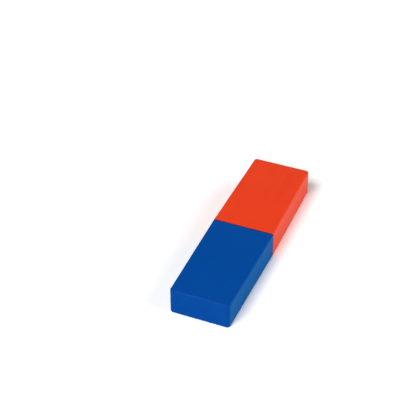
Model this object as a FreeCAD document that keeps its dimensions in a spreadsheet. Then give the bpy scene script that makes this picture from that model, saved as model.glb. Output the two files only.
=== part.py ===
import FreeCAD, Part
import math
import os

import Sketcher
from FreeCAD import Vector

# Plastic-cased block magnet, red and blue, of the kind used in schools.
#
# Two moulded caps, closed at their pole ends, meet mouth to mouth at mid-length.
# A short plug on the north cap is bonded into a rebate in the south cap.
# A ferrite bar, magnetised along its length, fills the cavity between them.
#
# Frame: the origin is on the table under the middle of the seam. X runs along
# the bar, with the north cap on the +X side, Y runs across it, and Z is up.
# All sizes are in millimetres, and angles in degrees.

# Driving dimensions: alias, value, what it is.
SIZES = [
    ("cap_length", 40.0, "one cap, from the seam to its pole face"),
    ("mouth_width", 22.5, "across the case at the seam, its widest place"),
    ("case_height", 10.0, "between the broad faces, which are parallel"),
    ("side_draft", 0.75, "lean of each narrow side towards its pole end"),
    ("side_wall", 1.6, "wall of the narrow sides"),
    ("broad_wall", 1.5, "wall of the broad faces"),
    ("pole_wall", 1.8, "wall of the pole ends"),
    ("corner_radius", 1.1, "outside, on the standing corners of a pole end"),
    ("edge_radius", 0.6, "outside, round the broad faces and pole faces"),
    ("cavity_radius", 0.6, "inside, on the standing corners of the cavity"),
    ("mouth_bevel", 0.2, "round each mouth; the two make the seam's groove"),
    ("plug_length", 3.0, "how far the plug stands out of the north cap's mouth"),
    ("plug_wall", 0.7, "wall of the plug"),
    ("plug_radius", 0.8, "outside, on the plug's corners"),
    ("plug_bevel", 0.2, "lead-in round the plug's tip"),
    ("plug_fit", 0.05, "clearance round the plug, filled by the bond"),
    ("plug_end_gap", 0.2, "from the plug's tip to the bottom of its rebate"),
    ("rib_width", 1.2, "of a locating rib, up the wall that it stands on"),
    ("rib_pitch", 3.4, "between the two ribs on a wall"),
    ("rib_least_rise", 0.25, "of a rib above its wall, at the pole end"),
    ("rib_setback", 1.0, "from the bottom of the rebate to a rib's near end"),
    ("rib_slope", 3.0, "length of a rib's near end, which slopes to let the magnet in"),
    ("magnet_side_fit", 0.1, "from the magnet to a rib"),
    ("magnet_face_fit", 0.1, "from the magnet to a broad wall"),
    ("magnet_end_fit", 0.3, "from the magnet to a pole wall"),
    ("magnet_bevel", 0.4, "ground round the magnet's edges"),
]

# Formulas, in the sheet's own terms, that more than one sketch uses.
DRAFT = "Sizes.side_draft * 1 deg"
MID_HEIGHT = "Sizes.case_height / 2"
CAVITY_WIDTH = f"(Sizes.mouth_width - 2 * Sizes.side_wall / cos({DRAFT}))"
CAVITY_HEIGHT = "(Sizes.case_height - 2 * Sizes.broad_wall)"
CAVITY_LENGTH = "(Sizes.cap_length - Sizes.pole_wall)"
PLUG_WIDTH = f"({CAVITY_WIDTH} + 2 * Sizes.plug_wall)"
PLUG_HEIGHT = f"({CAVITY_HEIGHT} + 2 * Sizes.plug_wall)"
REBATE_DEPTH = "(Sizes.plug_length + Sizes.plug_end_gap)"
RIB_FACE = f"({CAVITY_WIDTH} / 2 - {CAVITY_LENGTH} * tan({DRAFT}) - Sizes.rib_least_rise)"

# Within this distance two places count as one.
NEAR = 1e-4

# The sketcher's numbers for the ends of a line or an arc, and for a sketch's axes and origin.
START, END = 1, 2
X_AXIS, Y_AXIS = -1, -2
ORIGIN = (X_AXIS, START)


def make_sheet(doc):
    """The spreadsheet of driving dimensions, one row for each."""
    sheet = doc.addObject("Spreadsheet::Sheet", "Sizes")
    for row, (alias, value, note) in enumerate(SIZES, start=1):
        sheet.set(f"A{row}", alias)
        sheet.set(f"B{row}", str(value))
        sheet.set(f"C{row}", note)
        sheet.setAlias(f"B{row}", alias)
    doc.recompute()
    return sheet


def number(sheet, formula):
    """What a formula comes to, for a sketch's first guess and for finding edges."""
    return float(sheet.evalExpression(formula))


def new_body(doc, label):
    body = doc.addObject("PartDesign::Body", label)
    body.Label = label
    return body


def new_sketch(body, name, role, lift=None):
    """An empty sketch on one of the body's origin planes, lifted off it by a formula."""
    plane = next(p for p in body.Origin.OriginFeatures if p.Role == role)
    sketch = body.newObject("Sketcher::SketchObject", f"{body.Label}_{name}")
    sketch.AttachmentSupport = (plane, [""])
    sketch.MapMode = "FlatFace"
    if lift:
        sketch.setExpression("AttachmentOffset.Base.z", lift)
    return sketch


def line(sketch, start, end):
    return sketch.addGeometry(Part.LineSegment(Vector(*start, 0), Vector(*end, 0)), False)


def arc(sketch, centre, radius, first_angle, last_angle):
    circle = Part.Circle(Vector(*centre, 0), Vector(0, 0, 1), radius)
    return sketch.addGeometry(Part.ArcOfCircle(circle, first_angle, last_angle), False)


def rule(sketch, kind, *where):
    return sketch.addConstraint(Sketcher.Constraint(kind, *where))


def bind(sketch, name, formula, kind, *where):
    """A named dimension of the sketch that follows a formula."""
    sketch.renameConstraint(rule(sketch, kind, *where), name)
    sketch.setExpression(f"Constraints.{name}", formula)


def draw_drafted_plan(sketch, sheet, width, length, radius):
    """A cap's plan: square across the mouth, on the Y axis, with sides that lean
    in towards the far end, and round corners there."""
    w, reach, r = (number(sheet, formula) for formula in (width, length, radius))
    lean = math.radians(number(sheet, "Sizes.side_draft"))
    up = w / 2 - (r + (reach - r) * math.sin(lean)) / math.cos(lean)
    side_end = (reach - r + r * math.sin(lean), up + r * math.cos(lean))

    mouth = line(sketch, (0, w / 2), (0, -w / 2))
    right_side = line(sketch, (0, -w / 2), (side_end[0], -side_end[1]))
    right_corner = arc(sketch, (reach - r, -up), r, lean - math.pi / 2, 0)
    far_end = line(sketch, (reach, -up), (reach, up))
    left_corner = arc(sketch, (reach - r, up), r, 0, math.pi / 2 - lean)
    left_side = line(sketch, side_end, (0, w / 2))

    rule(sketch, "Coincident", mouth, END, right_side, START)
    rule(sketch, "Tangent", right_side, END, right_corner, START)
    rule(sketch, "Tangent", right_corner, END, far_end, START)
    rule(sketch, "Tangent", far_end, END, left_corner, START)
    rule(sketch, "Tangent", left_corner, END, left_side, START)
    rule(sketch, "Coincident", left_side, END, mouth, START)
    rule(sketch, "PointOnObject", mouth, START, Y_AXIS)
    rule(sketch, "Symmetric", mouth, START, mouth, END, X_AXIS)
    rule(sketch, "Vertical", far_end)
    rule(sketch, "Equal", left_corner, right_corner)
    rule(sketch, "Equal", left_side, right_side)
    bind(sketch, "width", width, "DistanceY", mouth, END, mouth, START, w)
    bind(sketch, "length", length, "DistanceX", *ORIGIN, far_end, START, reach)
    bind(sketch, "draft", DRAFT, "Angle", right_side, lean)
    bind(sketch, "radius", radius, "Radius", left_corner, r)


def draw_section(sketch, sheet, name, width, height, radius=None):
    """A section of the case, seen along X: a rectangle about the middle of its
    height, with round corners where a radius is given."""
    w, tall = number(sheet, width), number(sheet, height)
    r = number(sheet, radius) if radius else 0
    low, high = (number(sheet, MID_HEIGHT) + s * tall / 2 for s in (-1, 1))
    left, right = -w / 2, w / 2
    top = line(sketch, (right - r, high), (left + r, high))
    left_side = line(sketch, (left, high - r), (left, low + r))
    bottom = line(sketch, (left + r, low), (right - r, low))
    right_side = line(sketch, (right, low + r), (right, high - r))
    sides = (top, left_side, bottom, right_side)

    rule(sketch, "Symmetric", top, START, top, END, Y_AXIS)
    rule(sketch, "Horizontal", bottom)
    rule(sketch, "Vertical", left_side)
    rule(sketch, "Vertical", right_side)
    if radius:
        corners = []
        turns = ((left + r, high - r), (left + r, low + r), (right - r, low + r), (right - r, high - r))
        for quarter, middle in enumerate(turns, start=1):
            corner = arc(sketch, middle, r, quarter * math.pi / 2, (quarter + 1) * math.pi / 2)
            rule(sketch, "Tangent", sides[quarter - 1], END, corner, START)
            rule(sketch, "Tangent", corner, END, sides[quarter % 4], START)
            if corners:
                rule(sketch, "Equal", corners[0], corner)
            corners.append(corner)
        bind(sketch, f"{name}_radius", radius, "Radius", corners[0], r)
    else:
        for before, after in zip(sides, sides[1:] + sides[:1]):
            rule(sketch, "Coincident", before, END, after, START)
    bind(sketch, f"{name}_width", width, "DistanceX", left_side, END, right_side, START, w)
    bind(sketch, f"{name}_height", height, "DistanceY", bottom, END, top, START, tall)
    bottom_formula = f"{MID_HEIGHT} - {height} / 2"
    bind(sketch, f"{name}_low", bottom_formula, "DistanceY", *ORIGIN, bottom, START, low)


def draw_rib_pair(sketch, sheet):
    """The plan of one rib on each narrow side. Its face is parallel to the bar,
    its near end slopes, and its back is in the middle of the leaning wall."""
    near = f"({REBATE_DEPTH} + Sizes.rib_setback)"
    slope_end = f"{near} + Sizes.rib_slope"
    far = f"{CAVITY_LENGTH} + Sizes.pole_wall / 2"
    back = f"{CAVITY_WIDTH} / 2 + Sizes.side_wall / 2 - {near} * tan({DRAFT})"
    x0, x1, x2, face, back_near = (number(sheet, f) for f in (near, slope_end, far, RIB_FACE, back))
    lean = math.radians(number(sheet, "Sizes.side_draft"))
    back_far = back_near - (x2 - x0) * math.tan(lean)
    outline = ((x1, face), (x2, face), (x2, back_far), (x0, back_near))
    ribs = []
    for side in (1, -1):
        corners = [(x, side * y) for x, y in outline]
        sides = [line(sketch, a, b) for a, b in zip(corners, corners[1:] + corners[:1])]
        for before, after in zip(sides, sides[1:] + sides[:1]):
            rule(sketch, "Coincident", before, END, after, START)
        ribs.append(sides)
    for one, other in zip(*ribs):
        rule(sketch, "Symmetric", one, START, other, START, X_AXIS)
    inner, far_end, outer, _ = ribs[0]
    rule(sketch, "Horizontal", inner)
    rule(sketch, "Vertical", far_end)
    bind(sketch, "near", near, "DistanceX", *ORIGIN, outer, END, x0)
    bind(sketch, "slope_end", slope_end, "DistanceX", *ORIGIN, inner, START, x1)
    bind(sketch, "far", far, "DistanceX", *ORIGIN, inner, END, x2)
    bind(sketch, "face", RIB_FACE, "DistanceY", *ORIGIN, inner, START, face)
    bind(sketch, "back", back, "DistanceY", *ORIGIN, outer, END, back_near)
    bind(sketch, "lean", f"180 deg - {DRAFT}", "Angle", outer, math.pi - lean)


def extrude(body, kind, name, sketch, length, symmetric=False, backwards=False):
    """A Pad or a Pocket of a sketch, which must add to the body or cut it."""
    before = body.Shape.Volume if body.Tip else 0.0
    feature = body.newObject(f"PartDesign::{kind}", f"{body.Label}_{name}")
    feature.Profile = sketch
    feature.SideType = "Symmetric" if symmetric else "One side"
    feature.Reversed = backwards
    feature.setExpression("Length", length)
    body.Document.recompute()
    gain = feature.Shape.Volume - before
    if gain * (1 if kind == "Pad" else -1) <= 0:
        raise RuntimeError(f"{feature.Label} changed the volume by {gain:.3f} mm3")
    return feature


def dress(body, kind, name, size, formula, wanted):
    """A Fillet or a Chamfer on the edges that the wanted test picks."""
    base = body.Tip
    found = [f"Edge{n}" for n, edge in enumerate(base.Shape.Edges, start=1) if wanted(edge)]
    feature = body.newObject(f"PartDesign::{kind}", f"{body.Label}_{name}")
    feature.Base = (base, found)
    feature.setExpression(size, formula)
    body.Document.recompute()
    return feature


def is_level(edge):
    return edge.BoundBox.ZLength < NEAR


def is_at_x(edge, x):
    return abs(edge.BoundBox.XMin - x) < NEAR and abs(edge.BoundBox.XMax - x) < NEAR


def add_case(body, sheet):
    """The outside of a cap: a drafted block with round edges and a bevelled mouth."""
    plan = new_sketch(body, "plan", "XY_Plane")
    draw_drafted_plan(plan, sheet, "Sizes.mouth_width", "Sizes.cap_length", "Sizes.corner_radius")
    extrude(body, "Pad", "block", plan, "Sizes.case_height")
    # The round along the edges can't be larger than the corners that it turns.
    round_size = "min(Sizes.edge_radius; 0.9 * Sizes.corner_radius)"
    dress(body, "Fillet", "edges", "Radius", round_size, lambda e: is_level(e) and not is_at_x(e, 0))
    dress(body, "Chamfer", "mouth_bevel", "Size", "Sizes.mouth_bevel", lambda e: is_at_x(e, 0))


def add_cavity(body, sheet):
    """The inside of a cap: even walls, and two ribs on each narrow side that hold
    the magnet in the middle."""
    plan = new_sketch(body, "cavity_plan", "XY_Plane", lift=MID_HEIGHT)
    draw_drafted_plan(plan, sheet, CAVITY_WIDTH, CAVITY_LENGTH, "Sizes.cavity_radius")
    extrude(body, "Pocket", "cavity", plan, CAVITY_HEIGHT, symmetric=True)
    ribs = new_sketch(body, "rib_plan", "XY_Plane", lift=f"{MID_HEIGHT} - Sizes.rib_pitch / 2")
    draw_rib_pair(ribs, sheet)
    lower_ribs = extrude(body, "Pad", "lower_ribs", ribs, "Sizes.rib_width", symmetric=True)
    both = body.newObject("PartDesign::LinearPattern", f"{body.Label}_ribs")
    both.Originals = [lower_ribs]
    both.Direction = (ribs, ["N_Axis"])
    both.Occurrences = 2
    both.setExpression("Length", "Sizes.rib_pitch")
    body.Tip = both
    body.Document.recompute()


def add_plug(body, sheet):
    """The hollow plug that stands out of the north cap's mouth."""
    section = new_sketch(body, "plug_section", "YZ_Plane")
    draw_section(section, sheet, "outer", PLUG_WIDTH, PLUG_HEIGHT, "Sizes.plug_radius")
    draw_section(section, sheet, "inner", CAVITY_WIDTH, CAVITY_HEIGHT)
    extrude(body, "Pad", "plug", section, "Sizes.plug_length", backwards=True)
    tip = -number(sheet, "Sizes.plug_length")
    middle = number(sheet, MID_HEIGHT)
    half_width = number(sheet, f"{CAVITY_WIDTH} / 2")
    half_height = number(sheet, f"{CAVITY_HEIGHT} / 2")

    def is_round_tip(edge):
        y, z = edge.CenterOfMass.y, edge.CenterOfMass.z - middle
        outside = abs(y) > half_width + NEAR or abs(z) > half_height + NEAR
        return is_at_x(edge, tip) and outside

    dress(body, "Chamfer", "plug_bevel", "Size", "Sizes.plug_bevel", is_round_tip)


def add_rebate(body, sheet):
    """The rebate inside the south cap's mouth that the plug goes into."""
    section = new_sketch(body, "rebate_section", "YZ_Plane")
    width, height = f"({PLUG_WIDTH} + 2 * Sizes.plug_fit)", f"({PLUG_HEIGHT} + 2 * Sizes.plug_fit)"
    draw_section(section, sheet, "rebate", width, height, "Sizes.plug_radius + Sizes.plug_fit")
    extrude(body, "Pocket", "rebate", section, REBATE_DEPTH, backwards=True)


def make_north_cap(doc, sheet):
    body = new_body(doc, "north_cap")
    add_case(body, sheet)
    add_cavity(body, sheet)
    add_plug(body, sheet)
    return body


def make_south_cap(doc, sheet):
    """The south cap is drawn as the north one is, then turned half round."""
    body = new_body(doc, "south_cap")
    add_case(body, sheet)
    add_cavity(body, sheet)
    add_rebate(body, sheet)
    body.Placement = FreeCAD.Placement(Vector(), FreeCAD.Rotation(Vector(0, 0, 1), 180))
    return body


def make_magnet_bar(doc, sheet):
    """The ferrite bar: as large as the cavity and its ribs let it be."""
    body = new_body(doc, "magnet_bar")
    plan = new_sketch(body, "plan", "XY_Plane")
    length = f"2 * ({CAVITY_LENGTH} - Sizes.magnet_end_fit)"
    width = f"2 * ({RIB_FACE} - Sizes.magnet_side_fit)"
    half_length, half_width = number(sheet, length) / 2, number(sheet, width) / 2
    corners = [(half_length * a, half_width * b) for a, b in ((1, 1), (-1, 1), (-1, -1), (1, -1))]
    sides = [line(plan, a, b) for a, b in zip(corners, corners[1:] + corners[:1])]
    for before, after in zip(sides, sides[1:] + sides[:1]):
        rule(plan, "Coincident", before, END, after, START)
    back, left, front, right = sides
    rule(plan, "Symmetric", back, START, back, END, Y_AXIS)
    rule(plan, "Symmetric", left, START, left, END, X_AXIS)
    rule(plan, "Horizontal", front)
    bind(plan, "length", length, "DistanceX", back, END, back, START, 2 * half_length)
    bind(plan, "width", width, "DistanceY", left, END, left, START, 2 * half_width)
    extrude(body, "Pad", "bar", plan, f"{CAVITY_HEIGHT} - 2 * Sizes.magnet_face_fit")
    dress(body, "Chamfer", "bevel", "Size", "Sizes.magnet_bevel", lambda edge: True)
    body.setExpression("Placement.Base.z", "Sizes.broad_wall + Sizes.magnet_face_fit")
    doc.recompute()
    return body


def check(doc, bodies):
    """Stops with a message if a feature failed or a piece isn't one valid solid."""
    for thing in doc.Objects:
        if "Invalid" in thing.State or "Error" in thing.State:
            raise RuntimeError(f"{thing.Label} failed: {thing.State}")
    for body in bodies:
        shape = body.Shape
        if shape.isNull() or not shape.isValid() or len(shape.Solids) != 1:
            raise RuntimeError(f"{body.Label} isn't one valid solid")


doc = FreeCAD.newDocument("block_magnet")
sizes = make_sheet(doc)
pieces = [make_north_cap(doc, sizes), make_south_cap(doc, sizes), make_magnet_bar(doc, sizes)]
doc.recompute()
check(doc, pieces)

os.makedirs("parts", exist_ok=True)
for piece in pieces:
    piece.Shape.exportStep(f"parts/{piece.Label}.step")
    print(f"{piece.Label}: {piece.Shape.Volume / 1000:.2f} cm3")
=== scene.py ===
import math

import bmesh
import bpy
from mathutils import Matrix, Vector


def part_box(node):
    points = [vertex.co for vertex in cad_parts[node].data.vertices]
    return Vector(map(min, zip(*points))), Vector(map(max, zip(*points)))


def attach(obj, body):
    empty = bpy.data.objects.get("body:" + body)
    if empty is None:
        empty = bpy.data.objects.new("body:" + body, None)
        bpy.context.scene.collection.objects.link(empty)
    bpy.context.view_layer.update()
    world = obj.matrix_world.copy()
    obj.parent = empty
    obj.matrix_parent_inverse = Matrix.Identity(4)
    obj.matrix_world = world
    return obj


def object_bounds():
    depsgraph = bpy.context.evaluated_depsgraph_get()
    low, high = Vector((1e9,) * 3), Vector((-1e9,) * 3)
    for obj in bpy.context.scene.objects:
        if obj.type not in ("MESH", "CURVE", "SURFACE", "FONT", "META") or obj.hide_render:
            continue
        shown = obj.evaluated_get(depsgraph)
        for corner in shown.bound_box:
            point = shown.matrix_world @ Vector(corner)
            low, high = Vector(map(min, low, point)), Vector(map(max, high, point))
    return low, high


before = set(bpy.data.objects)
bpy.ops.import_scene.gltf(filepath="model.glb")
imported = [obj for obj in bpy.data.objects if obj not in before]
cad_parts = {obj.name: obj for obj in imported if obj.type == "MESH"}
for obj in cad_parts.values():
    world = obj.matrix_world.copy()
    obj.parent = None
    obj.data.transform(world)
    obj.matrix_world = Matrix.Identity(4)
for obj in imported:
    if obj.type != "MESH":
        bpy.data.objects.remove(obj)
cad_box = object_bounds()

bpy.ops.object.select_all(action="DESELECT")

# The magnet bar: one block of sintered hard ferrite, pressed, fired and then ground along its length.
# It goes into the case first. The ribs of both caps hold it, and once the case is shut none of it shows.
FERRITE_GREY = (0.034, 0.034, 0.038)
FERRITE_ROUGHNESS = 0.62
MARK_LENGTH = 0.012
MARK_WIDTH = 0.00018
MARK_DEPTH = 3e-6
MARK_SHADE = 0.5
MARK_ROUGHNESS = 0.2
CRYSTAL_SIZE = 0.0004
CRYSTAL_SHADE = 0.3
CRYSTAL_ROUGHNESS = 0.1
WELD_DISTANCE = 1e-6
OBJECT_COORDINATES = 3


class Wire:
    """One socket of a material's nodes. Arithmetic on it adds Math nodes."""

    def __init__(self, tree, socket=None):
        self.tree = tree
        self.socket = socket

    def node(self, kind, settings, sockets, out=0):
        """Adds a node: first its settings, then the values or links of its sockets."""
        node = self.tree.nodes.new("ShaderNode" + kind)
        for name, value in settings.items():
            setattr(node, name, value)
        for name, value in sockets.items():
            if isinstance(value, Wire):
                self.tree.links.new(value.socket, node.inputs[name])
            else:
                node.inputs[name].default_value = value
        return Wire(self.tree, node.outputs[out])

    def math(self, operation, first, second):
        return self.node("Math", {"operation": operation}, {0: first, 1: second})

    def __add__(self, other):
        return self.math("ADD", self, other)

    def __radd__(self, other):
        return self.math("ADD", other, self)

    def __sub__(self, other):
        return self.math("SUBTRACT", self, other)

    def __rsub__(self, other):
        return self.math("SUBTRACT", other, self)

    def __mul__(self, other):
        return self.math("MULTIPLY", self, other)

    def __rmul__(self, other):
        return self.math("MULTIPLY", other, self)

    def noise(self, grain, detail=2.0):
        """Noise from -0.5 to 0.5 about zero, with grains of these sizes along X, Y and Z."""
        scale = tuple(1 / size for size in grain)
        stretched = self.node("Mapping", {}, {"Vector": self, "Scale": scale})
        return self.node("TexNoise", {}, {"Vector": stretched, "Scale": 1.0, "Detail": detail}) - 0.5


def start_material(name):
    """A new material, its Principled shader and its Object coordinates."""
    material = bpy.data.materials.new(name)
    material.use_nodes = True
    tree = material.node_tree
    place = Wire(tree).node("TexCoord", {}, {}, out=OBJECT_COORDINATES)
    return material, tree.nodes["Principled BSDF"], place


def finish_surface(place, shader, colour, shading, roughness, height):
    """Feeds the shader: a colour times its shading, a roughness, and a height in metres as bump."""
    shaded = place.node("VectorMath", {"operation": "SCALE"}, {"Vector": colour, "Scale": shading})
    relief = place.node("Bump", {}, {"Strength": 1.0, "Distance": 1.0, "Height": height})
    place.tree.links.new(shaded.socket, shader.inputs["Base Color"])
    place.tree.links.new(roughness.socket, shader.inputs["Roughness"])
    place.tree.links.new(relief.socket, shader.inputs["Normal"])


def ground_ferrite():
    """Dark ceramic with fine grinding marks along the bar, and crystals that catch the light."""
    material, shader, place = start_material("ground_ferrite")
    marks = place.noise((MARK_LENGTH, MARK_WIDTH, MARK_WIDTH), detail=4.0)
    crystals = place.noise((CRYSTAL_SIZE,) * 3, detail=3.0)
    finish_surface(place, shader, FERRITE_GREY, 1 + MARK_SHADE * marks + CRYSTAL_SHADE * crystals,
                   FERRITE_ROUGHNESS + MARK_ROUGHNESS * marks + CRYSTAL_ROUGHNESS * crystals,
                   MARK_DEPTH * marks)
    return material


def dress(name, material):
    """Gives a CAD node its material, and even shading where its rounds run into its flats."""
    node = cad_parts[name]
    node.data.materials.clear()
    node.data.materials.append(material)
    weld = node.modifiers.new("weld", "WELD")
    weld.merge_threshold = WELD_DISTANCE
    shading = node.modifiers.new("even_shading", "WEIGHTED_NORMAL")
    shading.keep_sharp = False


dress("magnet_bar", ground_ferrite())

# The north cap: the red half of the case, injection moulded in glossy ABS, open at its mouth. A short plug
# round the mouth goes into the other cap. The pigment lies in faint streaks from the way the melt ran,
# and the mould was polished, but not to a mirror.
PLASTIC_RED = (0.755, 0.036, 0.0005)
RED_SKIN = 0.20
RED_BLOOM = (1.0, 0.55, 0.47)
BODY_GLOSS = 0.005
SKIN_ROUGHNESS = 0.14
BLOOM = 0.31
BLOOM_ROUGHNESS = 0.4
PLASTIC_ROUGHNESS = 0.46
STREAK_LENGTH = 0.030
STREAK_WIDTH = 0.0028
STREAK_SHADE = 0.10
CLOUD_SIZE = 0.017
CLOUD_SHADE = 0.06
CLOUD_SKIN = 0.4
CLOUD_ROUGHNESS = 0.12
RIPPLE_SIZE = 0.008
RIPPLE_HEIGHT = 14e-6
GRAIN_SIZE = 0.0002
GRAIN_SKIN = 0.2
GRAIN_ROUGHNESS = 0.06
GRAIN_HEIGHT = 4e-6


def moulded_plastic(name, colour, skin, bloom_colour):
    """Plastic with a thin smooth skin that shines, and a paler bloom where it is seen at a low angle."""
    material, shader, place = start_material(name)
    streaks = place.noise((STREAK_LENGTH, STREAK_WIDTH, STREAK_WIDTH), detail=3.0)
    clouds = place.noise((CLOUD_SIZE,) * 3)
    ripple = place.noise((RIPPLE_SIZE,) * 3, detail=1.0)
    grain = place.noise((GRAIN_SIZE,) * 3)
    uneven_skin = skin * (1 + CLOUD_SKIN * clouds + GRAIN_SKIN * grain)
    place.tree.links.new(uneven_skin.socket, shader.inputs["Coat Weight"])
    shader.inputs["Specular IOR Level"].default_value = BODY_GLOSS
    shader.inputs["Coat Roughness"].default_value = SKIN_ROUGHNESS
    shader.inputs["Sheen Weight"].default_value = BLOOM
    shader.inputs["Sheen Tint"].default_value = (*bloom_colour, 1)
    shader.inputs["Sheen Roughness"].default_value = BLOOM_ROUGHNESS
    finish_surface(place, shader, colour, 1 + STREAK_SHADE * streaks + CLOUD_SHADE * clouds,
                   PLASTIC_ROUGHNESS + CLOUD_ROUGHNESS * clouds + GRAIN_ROUGHNESS * grain,
                   RIPPLE_HEIGHT * ripple + GRAIN_HEIGHT * grain)
    return material


dress("north_cap", moulded_plastic("red_plastic", PLASTIC_RED, RED_SKIN, RED_BLOOM))

# The south cap: the blue half of the case, a moulding of the same size. It is pushed over the north cap's
# plug with adhesive, until the two mouths meet.
PLASTIC_BLUE = (0.0, 0.0505, 0.287)
BLUE_SKIN = 0.048
BLUE_BLOOM = (0.0, 0.9, 1.0)

dress("south_cap", moulded_plastic("blue_plastic", PLASTIC_BLUE, BLUE_SKIN, BLUE_BLOOM))

# The seam strip: a thin, nearly black fill in the groove round the case where the two bevelled mouths meet,
# which draws the seam as a thin dark line. Its face lies a little below the case's surface, and dips a
# little more in the middle.
FILL_BLACK = (0.008, 0.007, 0.012)
FILL_ROUGHNESS = 0.6
FILL_GLOSS = 0.12
SPECK_SIZE = 0.0006
SPECK_SHADE = 0.8
SPECK_ROUGHNESS = 0.3
SPECK_HEIGHT = 10e-6
CASE_EDGE_RADIUS = 0.0006
CORNER_STEPS = 10
STRIP_WIDTH = 0.00034
STRIP_BELOW_SURFACE = 0.00002
STRIP_THICKNESS = 0.00016
MENISCUS_RIM = 0.00008
MENISCUS_DEPTH = 0.00003
SAME_PLACE = 1e-7
SQUARE_WITHIN = 0.01
SHARP_ANGLE = math.radians(35)


def pick(piece, kind, wanted):
    """Selects only the edges or the faces that pass a test. Edit mode is left and entered again first,
    so that the piece's edges and faces come in the same order in each run."""
    bpy.ops.object.mode_set(mode="OBJECT")
    bpy.ops.object.mode_set(mode="EDIT")
    bpy.ops.mesh.select_mode(type=kind)
    bpy.ops.mesh.select_all(action="DESELECT")
    mesh = bmesh.from_edit_mesh(piece.data)
    for part in mesh.edges if kind == "EDGE" else mesh.faces:
        part.select_set(wanted(part))
    bmesh.update_edit_mesh(piece.data)


def is_open(edge):
    return len(edge.link_faces) == 1


def runs_along_bar(edge):
    return abs((edge.verts[1].co - edge.verts[0].co).normalized().x) > 1 - SQUARE_WITHIN


def faces_along_bar(face):
    return abs(face.normal.x) > 1 - SQUARE_WITHIN


def faces_out(face):
    outward = face.normal.dot(face.calc_center_median() - case_middle) > 0
    return outward and abs(face.normal.x) < SQUARE_WITHIN


case_low, case_high = (Vector(corner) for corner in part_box("south_cap"))
case_middle = Vector((0.0, (case_low.y + case_high.y) / 2, (case_low.z + case_high.z) / 2))
case_section = case_high - case_low
bpy.ops.mesh.primitive_cube_add(size=1, location=case_middle,
                                scale=(STRIP_WIDTH, case_section.y - 2 * STRIP_BELOW_SURFACE,
                                       case_section.z - 2 * STRIP_BELOW_SURFACE))
seam_strip = bpy.context.object
seam_strip.name = "seam_strip"
bpy.ops.object.transform_apply(location=True, rotation=True, scale=True)
pick(seam_strip, "EDGE", runs_along_bar)
bpy.ops.mesh.bevel(offset=CASE_EDGE_RADIUS - STRIP_BELOW_SURFACE, segments=CORNER_STEPS, profile=0.5)
pick(seam_strip, "FACE", faces_along_bar)
bpy.ops.mesh.inset(thickness=STRIP_THICKNESS, depth=-STRIP_THICKNESS)
bpy.ops.mesh.delete(type="FACE")
pick(seam_strip, "FACE", faces_out)
bpy.ops.mesh.inset(thickness=MENISCUS_RIM, depth=-MENISCUS_DEPTH)
pick(seam_strip, "EDGE", is_open)
bpy.ops.mesh.bridge_edge_loops()
bpy.ops.mesh.select_all(action="SELECT")
bpy.ops.mesh.remove_doubles(threshold=SAME_PLACE)
bpy.ops.mesh.normals_make_consistent(inside=False)
bpy.ops.object.mode_set(mode="OBJECT")
bpy.ops.object.shade_smooth_by_angle(angle=SHARP_ANGLE)


def near_black_fill():
    """Nearly black and dull, with small specks."""
    material, shader, place = start_material("near_black_fill")
    specks = place.noise((SPECK_SIZE,) * 3, detail=3.0)
    shader.inputs["Specular IOR Level"].default_value = FILL_GLOSS
    finish_surface(place, shader, FILL_BLACK, 1 + SPECK_SHADE * specks,
                   FILL_ROUGHNESS + SPECK_ROUGHNESS * specks, SPECK_HEIGHT * specks)
    return material


seam_strip.data.materials.append(near_black_fill())
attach(seam_strip, "root")

# The floor: a sheet of matt white paper that the magnet lies on. The camera, and whatever reflects the
# paper, sees it a little overexposed, so it is pure white but for the magnet's shadow. The light that it
# throws back onto the magnet isn't raised.
PAPER_WHITE = (0.95, 0.95, 0.95)
PAPER_ROUGHNESS = 0.95
PAPER_GLARE = 0.22
FIBRE_SIZE = 0.0015
FIBRE_SHADE = 0.01
FIBRE_ROUGHNESS = 0.05
FIBRE_HEIGHT = 1e-5
FLOOR_SIDE = 0.9
CAMERA_RAY, GLOSSY_RAY, CLEAR_RAY = 0, 3, 6


def seen_directly(wire):
    """1 where the camera looks, or looks by way of a glossy or clear surface, and 0 for all other light."""
    camera, glossy, clear = (wire.node("LightPath", {}, {}, out=ray)
                             for ray in (CAMERA_RAY, GLOSSY_RAY, CLEAR_RAY))
    return camera + glossy + clear


bpy.ops.mesh.primitive_plane_add(size=FLOOR_SIDE, location=(0, 0, cad_box[0][2]))
floor = bpy.context.object
floor.name = "floor"
paper, paper_shader, paper_place = start_material("white_paper")
fibres = paper_place.noise((FIBRE_SIZE,) * 3, detail=4.0)
paper_shader.inputs["Specular IOR Level"].default_value = 0.0
finish_surface(paper_place, paper_shader, PAPER_WHITE,
               (1 + FIBRE_SHADE * fibres) * (1 + PAPER_GLARE * seen_directly(paper_place)),
               PAPER_ROUGHNESS + FIBRE_ROUGHNESS * fibres, FIBRE_HEIGHT * fibres)
floor.data.materials.append(paper)

# The light: three softboxes and a faint even glow from the white room. The one on the left is high, and
# lights the top. The one on the right is low and wide, and lights the long side with hardly any shadow
# beyond it. A small weak one, low in front, lifts the blue pole face.
SOFTBOX_DISTANCE = 1.2
ROOM_GLOW = 0.03

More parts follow.
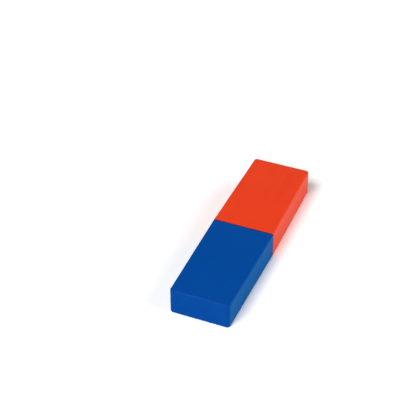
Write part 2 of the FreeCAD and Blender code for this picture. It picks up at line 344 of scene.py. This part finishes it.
world = bpy.data.worlds.new("white_room")
bpy.context.scene.world = world
world.use_nodes = True
glow = world.node_tree.nodes["Background"]
glow.inputs["Color"].default_value = (1, 1, 1, 1)
world_seen = seen_directly(Wire(world.node_tree))
world.node_tree.links.new((ROOM_GLOW + (1 - ROOM_GLOW) * world_seen).socket, glow.inputs["Strength"])


def add_softbox(name, bearing, elevation, width, height, level):
    """A softbox aimed at the magnet. A white sheet held square to it there would show this level."""
    bearing, elevation = math.radians(bearing), math.radians(elevation)
    way = Vector((math.cos(elevation) * math.cos(bearing), math.cos(elevation) * math.sin(bearing),
                  math.sin(elevation)))
    bpy.ops.object.light_add(type="AREA", location=way * SOFTBOX_DISTANCE,
                             rotation=way.to_track_quat("Z", "Y").to_euler())
    light = bpy.context.object
    light.name = name
    light.data.shape = "ELLIPSE"
    light.data.size = width
    light.data.size_y = height
    light.data.energy = level * math.pi ** 2 * (SOFTBOX_DISTANCE ** 2 + width * height / 4)


add_softbox("softbox_left", bearing=159, elevation=50, width=0.7, height=0.7, level=0.925)
add_softbox("softbox_right", bearing=-68, elevation=25, width=1.8, height=0.9, level=0.71)
add_softbox("softbox_front", bearing=185, elevation=12, width=0.5, height=0.3, level=0.15)

# The camera: a telephoto lens about 0.46 m away, looking down at 38 degrees, from beyond the blue pole and
# to the right of it. The magnet lies from the lower left of the picture to its upper right.
CAMERA_TARGET = Vector((0.0159, 0.0192, 0.0))
CAMERA_DISTANCE = 0.4616
CAMERA_TILT = math.radians(38.42)
CAMERA_BEARING = math.radians(-67.56)
LENS = 107.2
SENSOR = 36.0

view = Vector((-math.sin(CAMERA_BEARING) * math.cos(CAMERA_TILT),
               math.cos(CAMERA_BEARING) * math.cos(CAMERA_TILT), -math.sin(CAMERA_TILT)))
bpy.ops.object.camera_add(location=CAMERA_TARGET - CAMERA_DISTANCE * view,
                          rotation=(math.pi / 2 - CAMERA_TILT, 0, CAMERA_BEARING))
camera = bpy.context.object
camera.data.sensor_width = SENSOR
camera.data.lens = LENS
bpy.context.scene.camera = camera
bpy.context.scene.view_settings.view_transform = "Standard"
